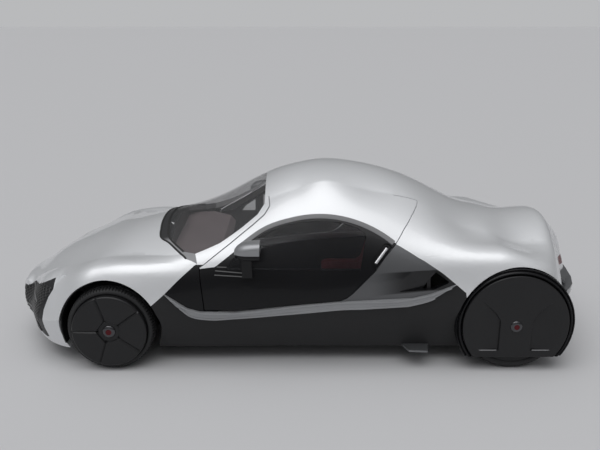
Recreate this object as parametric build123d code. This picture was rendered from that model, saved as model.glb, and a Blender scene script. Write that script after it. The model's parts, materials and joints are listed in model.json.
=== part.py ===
from build123d import *
from collections import namedtuple
import math
import os

# Millimetres. X runs from the nose (-) to the tail (+), Y from the left side (-)
# to the right side (+), Z is up from the floor.

# Driving dimensions
front_axle_x = -1300
rear_axle_x = 1530
front_tyre_r = 307
rear_tyre_r = 350
front_tyre_width = 215
rear_tyre_width = 230
front_tyre_outer_y = 790
rear_tyre_outer_y = 785
front_rim_r = 262
rear_rim_r = 292
front_arch_r = 360
rear_arch_r = 416
rear_ring_width = 46
well_inner_y = 395
rear_well_inner_y = 500

wall = 40
glass_thickness = 7
strip_proud = 16
door_gap = 6
door_hinge_x = -565
door_hinge_y = 715
door_hinge_r = 98
door_foot_z = 456
door_roof_y = 360
door_draft = 0.25
door_draft_y = 720

kingpin_y = 600
kingpin_r = 20
kingpin_length = 270
front_stub_r = 25
rear_stub_r = 28
running_fit = 0.05

recess_depth = 15
intake_depth = 73
mirror_y = 845
tail_lip_x = 2085
handle_length = 190
handle_width = 74
tyre_shoulder = 28
wheel_face = 35
arm_z = 105
liner = 8
cover_y = 805
cover_bottom_z = 112
cover_band = 110
seat_y = 345
firewall_x = -915
bulkhead_x = 920
partition = 24

# One row for each cross-section of the body: the floor edge, the waist, the crest of the
# fender or belt line, the rail of the bonnet or roof, the top, and the bow of two arcs.
Station = namedtuple(
    "Station",
    "x floor_y floor_z side_y side_z crest_y crest_z rail_y rail_z top_z side_bow rail_bow",
)
stations = [
    Station(-2085, 208, 224, 245, 330, 200, 444, 120, 462, 472, 8, 4),
    Station(-2040, 255, 198, 300, 330, 246, 462, 150, 484, 496, 8, 4),
    Station(-1900, 500, 172, 566, 340, 425, 520, 300, 540, 590, 14, 5),
    Station(-1740, 668, 145, 750, 360, 556, 616, 400, 628, 678, 22, 4),
    Station(-1620, 712, 132, 800, 385, 622, 662, 480, 676, 724, 26, -2),
    Station(-1480, 715, 130, 836, 405, 697, 737, 552, 724, 772, 30, -6),
    Station(-1300, 695, 130, 845, 420, 705, 785, 565, 765, 828, 30, -8),
    Station(-1030, 690, 130, 832, 430, 715, 792, 575, 776, 905, 26, -6),
    Station(-690, 690, 130, 792, 430, 716, 772, 620, 838, 1000, 14, 6),
    Station(-450, 685, 130, 788, 432, 725, 765, 520, 965, 1117, 12, 22),
    Station(-220, 680, 130, 792, 436, 732, 765, 400, 1124, 1240, 12, 50),
    Station(30, 680, 130, 800, 445, 736, 770, 360, 1222, 1320, 12, 62),
    Station(390, 680, 130, 797, 465, 737, 785, 360, 1236, 1333, 12, 62),
    Station(690, 680, 130, 795, 485, 740, 808, 350, 1172, 1270, 12, 48),
    Station(870, 680, 130, 800, 490, 742, 830, 360, 1127, 1203, 14, 25),
    Station(1070, 680, 130, 815, 480, 742, 855, 400, 1014, 1104, 18, 4),
    Station(1280, 680, 130, 842, 460, 735, 873, 420, 925, 1008, 26, -12),
    Station(1480, 680, 130, 862, 440, 730, 872, 450, 872, 958, 32, -14),
    Station(1680, 650, 150, 852, 430, 722, 806, 450, 828, 938, 34, -8),
    Station(1830, 565, 205, 795, 420, 655, 725, 435, 826, 952, 30, 6),
    Station(1900, 470, 250, 660, 418, 540, 632, 370, 788, 924, 22, 12),
    Station(1960, 350, 285, 490, 412, 385, 585, 250, 725, 850, 12, 12),
    Station(2020, 245, 316, 362, 408, 280, 530, 172, 640, 735, 9, 10),
]


def section(s, inset):
    chain = [
        (0, s.floor_z),
        (s.floor_y, s.floor_z),
        (s.side_y, s.side_z),
        (s.crest_y, s.crest_z),
        (s.rail_y, s.rail_z),
        (0, s.top_z),
    ]
    normals = []
    for (y0, z0), (y1, z1) in zip(chain, chain[1:]):
        length = math.hypot(y1 - y0, z1 - z0)
        normals.append(((z1 - z0) / length, (y0 - y1) / length))
    moved = []
    for (y, z), a, b in zip(chain[1:-1], normals, normals[1:]):
        scale = inset / (1 + a[0] * b[0] + a[1] * b[1])
        moved.append((y - (a[0] + b[0]) * scale, z - (a[1] + b[1]) * scale))

    def middle(p, q, bow):
        length = math.hypot(q[0] - p[0], q[1] - p[1])
        return (
            (p[0] + q[0]) / 2 + bow * (q[1] - p[1]) / length,
            (p[1] + q[1]) / 2 - bow * (q[0] - p[0]) / length,
        )

    floor, side, crest, rail = moved
    side_mid = middle(side, crest, s.side_bow)
    rail_mid = middle(crest, rail, s.rail_bow)
    at = lambda p, sign: Vector(s.x, sign * p[0], p[1])
    edges = [Edge.make_line(at(floor, -1), at(floor, 1))]
    edges += [Edge.make_line(at(floor, 1), at(side, 1))]
    edges += [Edge.make_three_point_arc(at(side, 1), at(side_mid, 1), at(crest, 1))]
    edges += [Edge.make_three_point_arc(at(crest, 1), at(rail_mid, 1), at(rail, 1))]
    top = Vector(s.x, 0, s.top_z - inset)
    edges += [Edge.make_three_point_arc(at(rail, 1), top, at(rail, -1))]
    edges += [Edge.make_three_point_arc(at(rail, -1), at(rail_mid, -1), at(crest, -1))]
    edges += [Edge.make_three_point_arc(at(crest, -1), at(side_mid, -1), at(side, -1))]
    edges += [Edge.make_line(at(side, -1), at(floor, -1))]
    return Wire(edges)


def body_solid(inset, rows):
    return Solid.make_loft([section(s, inset) for s in rows])


def side_prism(points, half=1000):
    face = make_face(Polyline(*[(x, 0, z) for x, z in points], close=True))
    return extrude(face, half, dir=(0, 1, 0), both=True)


def plan_prism(points, z0=0, z1=1500):
    face = make_face(Polyline(*[(x, y, z0) for x, y in points], close=True))
    return extrude(face, z1 - z0, dir=(0, 0, 1))


def slab(x0, x1, y0, y1, z0, z1):
    return Pos((x0 + x1) / 2, (y0 + y1) / 2, (z0 + z1) / 2) * Box(
        x1 - x0, y1 - y0, z1 - z0
    )


def rod_y(x, z, r, y0, y1):
    return Pos(x, (y0 + y1) / 2, z) * Rot(90, 0, 0) * Cylinder(r, abs(y1 - y0))


def both_sides(solid):
    return Compound([*solid.solids(), *mirror(solid, Plane.XZ).solids()])


def largest(shape):
    return max(shape.solids(), key=lambda solid: solid.volume)


def right(solid):
    return mirror(solid, Plane.XZ)


nodes = {}
# The inner skins stop short of both ends and pass over one close row, so that their lofts stay even
inner_rows = [row for row in stations[2:-1] if row.x != -1620]
outer = body_solid(0, stations)
inner = body_solid(wall, inner_rows)
glass_inner = body_solid(glass_thickness, inner_rows)
proud = body_solid(-strip_proud, stations)

# Cut lines seen from the side
fender_tail = [(-979, 513), (-903, 576), (-808, 665), (-694, 767)]
strip_top = [
    (-903, 576), (-852, 544), (-752, 475), (-664, 447), (-422, 441),
    (23, 497), (279, 521), (802, 550), (923, 581), (1097, 653),
]
strip_low = [
    (-824, 494), (-711, 405), (-599, 382), (-423, 392), (23, 441),
    (279, 466), (802, 500), (925, 538),
]
quarter_low = [(684, 909), (886, 804), (1015, 718), (1097, 653), (1167, 596)]
door_front = [(-431, 887), (-256, 999), (-165, 1061), (-115, 1110), (-93, 1180), (-93, 1400)]
door_rear = [
    (960, 1400), (960, 1123), (941, 1105), (863, 1053), (777, 987), (695, 905),
    (611, 826), (536, 733), (462, 664), (371, 577), (330, 547), (290, 531),
]
door_low = [(23, 506), (-430, door_foot_z), (-670, door_foot_z), (-670, 742)]

# The wheel wells
well = Compound(
    [
        rod_y(front_axle_x, front_tyre_r, front_arch_r, well_inner_y, 1000),
        rod_y(front_axle_x, front_tyre_r, front_arch_r, -1000, -well_inner_y),
        rod_y(rear_axle_x, rear_tyre_r, rear_arch_r, rear_well_inner_y, 1000),
        rod_y(rear_axle_x, rear_tyre_r, rear_arch_r, -1000, -rear_well_inner_y),
    ]
).solids()
shell = outer - inner
for one in well:
    shell -= one


# The left door's space, drafted so that the rear edge leaves its frame as it swings out
def door_space(gap):
    outline = door_front + door_rear + door_low
    face = make_face(Polyline(*[(x, -door_draft_y, z) for x, z in outline], close=True))
    if gap:
        face = offset(face, gap, kind=Kind.INTERSECTION)
    slant = Vector(door_draft, -1, 0)
    space = extrude(face, 300, dir=slant) + extrude(face, 420, dir=slant * -1)
    behind = slab(door_hinge_x, 1500, -1200, gap - door_roof_y, 0, 1500)
    front = Pos(door_hinge_x, -door_hinge_y, 750) * Cylinder(door_hinge_r + gap, 1500)
    return space & (behind + front)


door_hole = door_space(door_gap)
door_room = door_space(0)
holes = [door_hole, right(door_hole)]


def cut(solid, *tools):
    for tool in tools:
        solid = solid - tool
    return solid


strip_region = side_prism(strip_top + strip_low[::-1])
lower_region = side_prism(
    [(-1010, 90), (-1010, 490)] + [(-979, 513), (-903, 576)] + strip_low
    + [(1097, 653), (1167, 596), (1200, 400), (1200, 90)]
)
front_region = side_prism(
    [(-2200, 80), (-2200, 900)] + [(-600, 1100), (-600, 767), (-694, 767)]
    + fender_tail[::-1][1:] + [(-1010, 490), (-1010, 80)]
)
cowl_line = [(-600, -1000), (-640, -760), (-688, -713), (-768, -679), (-854, -570),
             (-918, -481), (-986, -400), (-1012, -250), (-1022, 0)]
cowl_edge = cowl_line + [(x, -y) for x, y in cowl_line[-2::-1]]
ahead_of_cowl = plan_prism([(-2300, -1000)] + cowl_edge + [(-2300, 1000)])
glass_side = [(-700, -650), (-533, -610), (-377, -540), (-270, -484), (-222, -410), (-222, 0)]
glass_base = [(-780, -610), (-850, -520), (-910, -420), (-945, -250), (-960, 0)]
glass_half = glass_base[::-1] + glass_side
glass_edge = glass_half + [(x, -y) for x, y in glass_half[-2:0:-1]]
glass_region = plan_prism(glass_edge, 700)
cowl_back = plan_prism(
    [(x, y) for x, y in cowl_edge]
    + [(-700, 650)] + [(x, -y) for x, y in glass_base] + [(x, y) for x, y in glass_base[-2::-1]]
    + [(-700, -650)],
    700,
)
header_x = -190
roof_end_x = 700

grille_region = side_prism(
    [(-2200, 290), (-2200, 425), (-2040, 432), (-1933, 489), (-1840, 550), (-1753, 602), (-1681, 638),
     (-1624, 660), (-1689, 593), (-1751, 500), (-1785, 415), (-1797, 330), (-1797, 268), (-1775, 196),
     (-1800, 184), (-1900, 199), (-2040, 224), (-2095, 277)]
)
tray_side = [(-2010, -230), (-1900, -440), (-1740, -600), (-1620, -645), (-1010, -645)]
tray_region = plan_prism(tray_side + [(x, -y) for x, y in tray_side[::-1]], 80, 182)
diffuser_region = side_prism(
    [(1200, 80), (1200, 190), (1680, 205), (1840, 255), (1960, 315), (2200, 400), (2200, 80)]
)
rear_region = side_prism(
    [(1200, 80), (1200, 400), (1167, 596)] + quarter_low[::-1][1:]
    + [(560, 1000), (560, 1500), (2300, 1500), (2300, 80)]
)
quarter_region = side_prism(
    quarter_low[:4] + strip_top[::-1][1:4] + [(560, 900)]
)
outlet_region = side_prism(
    fender_tail[1:] + [(-600, 767), (-540, 700), (-540, 444)] + strip_top[:4][::-1]
)

front_all = (shell & front_region) & ahead_of_cowl
nodes["grille"] = front_all & grille_region
nodes["front_clip"] = cut(front_all - grille_region, tray_region, *holes)
nodes["front_undertray"] = front_all & tray_region
nodes["rocker_tub"] = shell & lower_region
nodes["sill_strips"] = cut((proud - inner) & strip_region, *well)
nodes["outlet_panels"] = cut(shell & outlet_region, *holes)
quarter_all = cut(shell & quarter_region, *holes)
intake_side = side_prism(
    [(640, 718), (818, 738), (945, 742), (1000, 704), (1052, 668), (1040, 655), (950, 612), (720, 592)]
)
intake_plan = plan_prism([(640, -795), (1060, -795 + intake_depth), (1060, -950), (640, -950)])
intake = intake_side & intake_plan
nodes["quarter_panels"] = cut(quarter_all, intake, right(intake))
nodes["diffuser"] = shell & diffuser_region
roof_room = slab(header_x, roof_end_x, -door_roof_y + 0.0, door_roof_y, 900, 1500)
rear_all = cut((shell & rear_region) - diffuser_region, roof_room, *holes)
nodes["rear_clip"] = rear_all
nodes["roof_panel"] = shell & roof_room
screen_room = slab(-1100, header_x, -760, 760, 767, 1500)
screen_all = cut((shell & screen_room) - ahead_of_cowl, *holes)
nodes["cowl"] = screen_all & cowl_back
nodes["windscreen_frame"] = (screen_all - cowl_back) - glass_region
nodes["windscreen"] = ((outer - glass_inner) & glass_region) & slab(-1100, header_x, -760, 760, 767, 1500)

# Doors: silver band above, black panel with the window, handle pocket and strip below
recess_inner = body_solid(recess_depth, inner_rows)
band_line = [(-700, 735), (-560, 752), (-455, 825), (-297, 941), (-214, 992), (-96, 1036),
             (30, 1063), (163, 1075), (302, 1067), (481, 1017), (567, 970), (684, 913), (1000, 740)]
band_region = side_prism(band_line + [(1000, 1500), (-700, 1500)])
window_region = side_prism(
    [(-480, 735), (-440, 800), (-297, 912), (-214, 962), (-96, 1008), (30, 1036), (163, 1048),
     (302, 1040), (430, 1003), (490, 960), (450, 735)]
)
pocket = Pos(590, 0, 828) * Rot(0, -51, 0) * extrude(
    Plane.XZ * SlotOverall(handle_length, handle_width), 1000, both=True
)
grip = Pos(590, 0, 828) * Rot(0, -51, 0) * extrude(
    Plane.XZ * SlotOverall(handle_length - 40, handle_width * 0.4), 1000, both=True
)
left = slab(-2300, 2300, -1200, 0, 0, 1600)
door_all = shell & door_room
door_band = door_all & band_region
skin = outer - recess_inner
door_panel = largest(cut(door_all - band_region, window_region, skin & pocket))
door_glass = ((outer - glass_inner) & window_region) & left
door_handle = skin & grip & left

MirrorRow = namedtuple("MirrorRow", "x width height corner z")
mirror_rows = [
    MirrorRow(-408, 52, 36, 17, 903),
    MirrorRow(-384, 108, 84, 38, 906),
    MirrorRow(-330, 144, 116, 48, 911),
    MirrorRow(-238, 148, 124, 44, 915),
]
mirror_head = loft(
    [
        Plane((row.x, -mirror_y, row.z), x_dir=(0, 1, 0), z_dir=(1, 0, 0))
        * RectangleRounded(row.width, row.height, row.corner)
        for row in mirror_rows
    ]
)
arm_face = make_face(
    Polyline(
        *[(-365, y, z) for y, z in
          [(-690, 682), (-790, 694), (-868, 870), (-812, 870), (-768, 728), (-690, 718)]],
        close=True,
    )
)
door_mirror = (mirror_head + extrude(arm_face, 70, dir=(1, 0, 0))) - outer

# Running gear
def tyre(x, r, rim, y0, y1):
    ring = rod_y(x, r, r, y0, y1) - rod_y(x, r, rim, y0, y1)
    rims = [e for e in ring.edges().filter_by(GeomType.CIRCLE) if e.radius > r - 1]
    return fillet(rims, tyre_shoulder)


def front_wheel():
    x, z = front_axle_x, front_tyre_r
    face0 = -front_tyre_outer_y - 5
    face1 = face0 - wheel_face
    wheel = rod_y(x, z, front_rim_r, face1, face0)
    rim = [e for e in wheel.edges().filter_by(GeomType.CIRCLE) if e.center().Y < face0 - 1]
    wheel = fillet(rim, 14)
    wheel += rod_y(x, z, front_rim_r, face0, -kingpin_y) - rod_y(x, z, front_rim_r - 10, face0, -kingpin_y)
    wheel += rod_y(x, z, 70, face0, -kingpin_y - 50)
    wheel -= rod_y(x, z, front_stub_r + running_fit, face0 + 6, -kingpin_y)
    for k in range(5):
        groove = slab(84, front_rim_r - 4, face1 - 1, face1 + 8, -6, 6)
        wheel -= Pos(x, 0, z) * Rot(0, 72 * k, 0) * Rot(0, 180, 0) * groove
    hub = Pos(x, 0, z) * Rot(0, 180, 0) * extrude(
        Plane.XZ.offset(-face1 - 14) * RegularPolygon(90, 5), 20
    )
    return wheel - hub + rod_y(x, z, 46, face1 - 3, face1 + 14)


front_left_wheel = front_wheel()
front_left_tyre = tyre(
    front_axle_x, front_tyre_r, front_rim_r,
    -front_tyre_outer_y, -front_tyre_outer_y + front_tyre_width,
)
rear_left_tyre = tyre(
    rear_axle_x, rear_tyre_r, rear_rim_r,
    -rear_tyre_outer_y, -rear_tyre_outer_y + rear_tyre_width,
)
rear_in_y = -rear_tyre_outer_y + rear_tyre_width
rear_left_wheel = rod_y(rear_axle_x, rear_tyre_r, rear_rim_r, -rear_tyre_outer_y + 8, rear_in_y)
rear_left_wheel -= rod_y(rear_axle_x, rear_tyre_r, rear_rim_r - 12, -rear_tyre_outer_y + 50, rear_in_y)
rear_left_wheel += rod_y(rear_axle_x, rear_tyre_r, 75, -rear_tyre_outer_y + 49, rear_in_y - 40)
rear_left_wheel -= rod_y(
    rear_axle_x, rear_tyre_r, rear_stub_r + running_fit, -rear_tyre_outer_y + 20, rear_in_y
)

knuckle = Pos(front_axle_x, -kingpin_y, front_tyre_r) * Cylinder(kingpin_r, kingpin_length)
knuckle += Pos(front_axle_x, -kingpin_y, front_tyre_r) * Cylinder(44, 2 * arm_z - 44)
knuckle += rod_y(front_axle_x, front_tyre_r, front_stub_r, -front_tyre_outer_y + 10, -kingpin_y)

front_block = slab(front_axle_x - 60, front_axle_x + 60, -380, 380, 150, front_tyre_r + arm_z + 15)
subframe = front_block & inner
for y in (-1, 1):
    for z in (-arm_z, arm_z):
        level = front_tyre_r + z
        arm = slab(front_axle_x - 32, front_axle_x + 32, *sorted((y * 380, y * kingpin_y)), level - 15, level + 15)
        arm += Pos(front_axle_x, y * kingpin_y, level) * Cylinder(38, 30)
        arm -= Pos(front_axle_x, y * kingpin_y, level) * Cylinder(kingpin_r + running_fit, 40)
        subframe += arm

rear_beam = slab(rear_axle_x - 60, rear_axle_x + 60, -470, 470, rear_tyre_r - 70, rear_tyre_r + 70)
rear_beam += slab(rear_axle_x - 50, rear_axle_x + 50, -300, 300, 150, rear_tyre_r) & inner
for y in (-1, 1):
    rear_beam += rod_y(rear_axle_x, rear_tyre_r, rear_stub_r, *sorted((y * 470, y * (rear_tyre_outer_y - 26))))

# Arch liners, rear arch rings and the fixed rear wheel covers, left side first
front_liner = (
    rod_y(front_axle_x, front_tyre_r, front_arch_r, -740, -well_inner_y)
    - rod_y(front_axle_x, front_tyre_r, front_arch_r - liner, -740, -well_inner_y)
) & slab(-2300, 2300, -1000, 0, 182, 1000)
front_liner += rod_y(front_axle_x, front_tyre_r, front_arch_r - liner, -well_inner_y - liner, -well_inner_y) & slab(
    -2300, 2300, -1000, 0, front_tyre_r + arm_z + 25, 1000
)
rear_liner = (
    rod_y(rear_axle_x, rear_tyre_r, rear_arch_r, -740, -rear_well_inner_y)
    - rod_y(rear_axle_x, rear_tyre_r, rear_arch_r - liner, -740, -rear_well_inner_y)
) & slab(-2300, 2300, -1000, 0, 205, 1000)
rear_liner += rod_y(rear_axle_x, rear_tyre_r, rear_arch_r - liner, -rear_well_inner_y - liner, -rear_well_inner_y) & slab(
    -2300, 2300, -1000, 0, rear_tyre_r + 80, 1000
)
ring_r = rear_arch_r - rear_ring_width
ring = (
    rod_y(rear_axle_x, rear_tyre_r, rear_arch_r, -cover_y - 10, -740)
    - rod_y(rear_axle_x, rear_tyre_r, ring_r, -cover_y - 10, -740)
) & slab(-2300, 2300, -1000, 0, cover_bottom_z, 1000)
cover = rod_y(rear_axle_x, rear_tyre_r, ring_r, -cover_y - 24, -cover_y + 0) & slab(
    -2300, 2300, -1000, 0, cover_bottom_z, 1000
)
recess = rod_y(rear_axle_x, rear_tyre_r, ring_r - 40, -cover_y - 30, -cover_y - 14) & slab(
    -2300, 2300, -1000, 0, cover_bottom_z + 50, 1000
)
low, mid, high = cover_bottom_z, rear_tyre_r + 40, rear_tyre_r + 262
pocket_line = [(cover_band, low), (cover_band, mid), (cover_band + 40, mid + 65), (330, high), (450, high), (450, low)]
recess &= side_prism([(rear_axle_x + x, z) for x, z in pocket_line]) + side_prism(
    [(rear_axle_x - x, z) for x, z in pocket_line]
)
cover -= recess
rear_cap = rod_y(rear_axle_x, rear_tyre_r, 52, -cover_y - 36, -cover_y - 24)

# Cabin and heavy masses
firewall = inner & slab(firewall_x - partition / 2, firewall_x + partition / 2, -1000, 1000, 0, 1500)
bulkhead = inner & slab(bulkhead_x - partition / 2, bulkhead_x + partition / 2, -1000, 1000, 0, 1500)
dash_front = firewall_x + partition / 2
dash = side_prism([(dash_front, 600), (dash_front, 770), (-700, 775), (-560, 740), (-520, 690), (-540, 600)], 560) & inner
console = slab(dash_front, bulkhead_x - partition / 2, -90, 90, 150, 400) & inner
dash -= console
engine = slab(1010, 1400, -340, 340, 150, 700) & inner
seat_side = side_prism(
    [(170, 100), (170, 330), (180, 365), (560, 330), (590, 345), (790, 930), (860, 960),
     (880, 930), (740, 480), (730, 100)], 220,
)
seat = (Pos(0, -seat_y, 0) * seat_side) & inner
column = Pos(-440, -seat_y, 700) * Rot(0, 90, 0) * Cylinder(28, 160)
wheel_rim = Pos(-360, -seat_y, 700) * Rot(0, 90, 0) * Torus(165, 15)
steering = column + wheel_rim
for k in range(3):
    spoke = Pos(0, 0, 85) * Box(14, 34, 160)
    steering += Pos(-367, -seat_y, 700) * Rot(90 + 90 * k, 0, 0) * spoke

winglet = plan_prism([(740, -640), (960, -640), (930, -800), (800, -790)], 136, 150) - outer
pads = Compound([p for x in (-820, 960) for p in (Pos(x, -600, 124) * Cylinder(32, 24) - outer).solids()])
lip_low = [(1915, -480), (1925, -640), (1960, -600), (2008, -515), (2045, -380), (2070, -200), (tail_lip_x, 0)]
lip_high = [(1915, -450), (1922, -585), (1972, -480), (2010, -350), (2030, -180), (2036, 0)]
blades = Compound(
    [
        part
        for line, z0, z1 in ((lip_low, 500, 546), (lip_high, 574, 592))
        for part in (plan_prism(line + [(x, -y) for x, y in line[-2::-1]], z0, z1) - outer).solids()
    ]
)
lamp_region = side_prism([(1900, 640), (1900, 690), (2100, 660), (2100, 610)])
lamp_room = [lamp_region & slab(1900, 2300, *sorted((y * 110, y * 380)), 0, 1500) for y in (-1, 1)]
tail_lamps = Compound([part for room in lamp_room for part in (rear_all & room).solids()])
nodes["rear_clip"] = cut(rear_all, *tail_lamps.solids())
nodes["tail_lamps"] = tail_lamps
lamp_box = slab(-1716, -1500, -1000, 1000, 0, 1000)
nodes["headlamps"] = front_all & grille_region & lamp_box
nodes["grille"] = nodes["grille"] - lamp_box
nodes["front_subframe"] = subframe
nodes["rear_beam"] = rear_beam
nodes["wheel_liners"] = Compound(
    [*both_sides(front_liner).solids(), *both_sides(rear_liner).solids()]
)
nodes["rear_arch_rings"] = both_sides(ring)
nodes["rear_wheel_covers"] = both_sides(cover)
nodes["rear_hub_caps"] = both_sides(rear_cap)
nodes["bulkheads"] = Compound([*firewall.solids(), *bulkhead.solids()])
nodes["dashboard"] = dash
nodes["console"] = console
nodes["engine_block"] = engine
nodes["seats"] = both_sides(seat)
nodes["steering_wheel"] = steering
nodes["winglets"] = both_sides(winglet)
nodes["jack_pads"] = both_sides(pads)
nodes["tail_blades"] = blades
left_nodes = {
    "door_band": door_band,
    "door_panel": door_panel,
    "door_glass": door_glass,
    "door_handle": door_handle,
    "door_mirror": door_mirror,
    "knuckle": knuckle,
    "front_wheel": front_left_wheel,
    "front_tyre": front_left_tyre,
    "rear_wheel": rear_left_wheel,
    "rear_tyre": rear_left_tyre,
}
for name, shape in left_nodes.items():
    nodes[f"{name}_left"] = shape
    nodes[f"{name}_right"] = right(shape)

for name, shape in nodes.items():
    print(name, [round(s.volume / 1e6, 3) for s in shape.solids()], shape.is_valid)

os.makedirs("parts", exist_ok=True)
for name, shape in nodes.items():
    solids = shape.solids()
    export_step(Compound(solids) if len(solids) > 1 else solids[0], f"parts/{name}.step")
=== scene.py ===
import json
import math
import bmesh
import bpy
import numpy as np
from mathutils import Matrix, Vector
from mathutils.bvhtree import BVHTree

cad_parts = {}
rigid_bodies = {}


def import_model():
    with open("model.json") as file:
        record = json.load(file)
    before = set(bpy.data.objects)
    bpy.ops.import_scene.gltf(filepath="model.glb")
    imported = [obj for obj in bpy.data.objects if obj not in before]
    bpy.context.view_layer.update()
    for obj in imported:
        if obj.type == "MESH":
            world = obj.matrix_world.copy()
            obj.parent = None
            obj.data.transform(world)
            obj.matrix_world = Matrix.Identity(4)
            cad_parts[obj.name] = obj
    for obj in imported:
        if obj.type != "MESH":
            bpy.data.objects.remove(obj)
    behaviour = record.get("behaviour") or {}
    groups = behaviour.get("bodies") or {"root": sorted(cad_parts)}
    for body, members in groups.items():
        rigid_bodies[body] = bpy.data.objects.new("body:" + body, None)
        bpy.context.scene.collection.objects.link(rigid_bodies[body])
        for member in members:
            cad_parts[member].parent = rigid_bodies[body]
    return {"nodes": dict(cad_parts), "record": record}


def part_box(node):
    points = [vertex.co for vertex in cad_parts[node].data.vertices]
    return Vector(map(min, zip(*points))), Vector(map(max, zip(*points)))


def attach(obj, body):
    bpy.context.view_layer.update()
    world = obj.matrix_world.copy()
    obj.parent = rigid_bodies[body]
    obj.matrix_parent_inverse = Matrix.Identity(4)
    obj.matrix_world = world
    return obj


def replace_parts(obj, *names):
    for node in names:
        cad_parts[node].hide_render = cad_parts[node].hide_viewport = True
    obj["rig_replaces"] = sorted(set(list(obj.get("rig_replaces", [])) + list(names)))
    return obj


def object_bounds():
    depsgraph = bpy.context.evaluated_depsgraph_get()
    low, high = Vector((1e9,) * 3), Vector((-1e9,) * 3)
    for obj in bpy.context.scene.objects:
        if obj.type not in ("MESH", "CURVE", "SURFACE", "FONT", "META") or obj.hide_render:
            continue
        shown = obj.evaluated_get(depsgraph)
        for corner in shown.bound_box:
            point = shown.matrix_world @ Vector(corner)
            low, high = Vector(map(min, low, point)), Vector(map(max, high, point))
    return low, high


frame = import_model()
cadBox = [list(corner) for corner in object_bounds()]
print("frame loaded:", len(frame["nodes"]), "nodes")

scene = bpy.context.scene
scene.view_settings.view_transform = "Standard"


# camera solved from the wheel ellipses and the fender spacing
cameraSettings = {"lens": 43.44, "sensor": 36.0, "place": (0.03, -5.40, 2.53), "down": 17.5, "farClip": 200}


def makeCamera(settings):
    # looks along +Y, tipped down from level
    data = bpy.data.cameras.new("viewCamera")
    data.lens = settings["lens"]
    data.sensor_width = settings["sensor"]
    data.clip_end = settings["farClip"]
    camera = bpy.data.objects.new("viewCamera", data)
    camera.location = settings["place"]
    camera.rotation_euler = (math.radians(90 - settings["down"]), 0, 0)
    scene.collection.objects.link(camera)
    scene.camera = camera


makeCamera(cameraSettings)


class Wire:
    # an output socket of a node; sums written on it become Math nodes

    def __init__(self, tree, socket):
        self.tree = tree
        self.socket = socket

    def node(self, kind, settings=(), inputs=(), out=0):
        made = self.tree.nodes.new(kind)
        for key, value in dict(settings).items():
            setattr(made, key, value)
        for key, value in dict(inputs).items():
            if isinstance(value, Wire):
                self.tree.links.new(value.socket, made.inputs[key])
            else:
                made.inputs[key].default_value = value
        return Wire(self.tree, made.outputs[out])

    def maths(self, operation, left, right=0.0):
        return self.node("ShaderNodeMath", {"operation": operation}, {0: left, 1: right})

    def __add__(self, other):
        return self.maths("ADD", self, other)

    def __radd__(self, other):
        return self.maths("ADD", other, self)

    def __sub__(self, other):
        return self.maths("SUBTRACT", self, other)

    def __rsub__(self, other):
        return self.maths("SUBTRACT", other, self)

    def __mul__(self, other):
        return self.maths("MULTIPLY", self, other)

    def __rmul__(self, other):
        return self.maths("MULTIPLY", other, self)

    def axis(self, number):
        return self.node("ShaderNodeSeparateXYZ", {}, {0: self}, number)

    def ramp(self, low, high, start=0.0, end=1.0):
        settings = {"interpolation_type": "SMOOTHSTEP"}
        return self.node("ShaderNodeMapRange", settings, {0: self, 1: low, 2: high, 3: start, 4: end})

    def blendTo(self, first, second):
        return self.node("ShaderNodeMix", {"data_type": "RGBA"}, {0: self, 6: first, 7: second}, 2)

    def noise(self, scale, detail=3.0):
        return self.node("ShaderNodeTexNoise", {}, {"Vector": self, "Scale": scale, "Detail": detail})

    def cells(self, scale):
        return self.node("ShaderNodeTexVoronoi", {}, {"Vector": self, "Scale": scale})

    def bump(self, strength, distance):
        inputs = {"Height": self, "Strength": strength, "Distance": distance}
        return self.node("ShaderNodeBump", {}, inputs)

    def into(self, shader, name):
        self.tree.links.new(self.socket, shader.inputs[name])


def newFinish(name, sockets):
    # a Principled material with fixed socket values; gives it, its shader and its Object coordinates
    material = bpy.data.materials.new(name)
    material.use_nodes = True
    tree = material.node_tree
    shader = tree.nodes["Principled BSDF"]
    for key, value in sockets.items():
        shader.inputs[key].default_value = value
    return material, shader, Wire(tree, tree.nodes.new("ShaderNodeTexCoord").outputs["Object"])


def rgb(red, green, blue):
    # a colour with full alpha
    return (red, green, blue, 1)


# paint: scales of the flakes, clouds and orange peel, and how far the clouds vary the roughness
paintSettings = {
    "flakes": 1400.0, "clouds": 2.2, "uneven": 0.08, "coatRoughness": 0.04,
    "peel": 190.0, "peelStrength": 0.05, "peelDepth": 0.0004,
}


def orangePeel(place):
    # a fine, shallow ripple in the clear coat
    settings = paintSettings
    return place.noise(settings["peel"], 1.0).bump(settings["peelStrength"], settings["peelDepth"])


def paintFinish(name, pale, dark, metal, roughness, coat=1.0, shine=0.5):
    # metallic paint: fine flakes, faint clouds, a clear coat with a slight orange peel
    settings = paintSettings
    material, shader, place = newFinish(name, {
        "Metallic": metal, "Coat Weight": coat, "Coat Roughness": settings["coatRoughness"],
        "Specular IOR Level": shine,
    })
    flakes, clouds = place.cells(settings["flakes"]), place.noise(settings["clouds"])
    (flakes * 0.5 + clouds * 0.5).blendTo(rgb(*dark), rgb(*pale)).into(shader, "Base Color")
    (clouds * settings["uneven"] + (roughness - settings["uneven"] / 2)).into(shader, "Roughness")
    orangePeel(place).into(shader, "Normal")
    return material


mouldSettings = {"rubbed": 5.0, "pebbleShare": 0.3, "uneven": 0.18, "shine": 0.32, "bump": 0.35}


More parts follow.
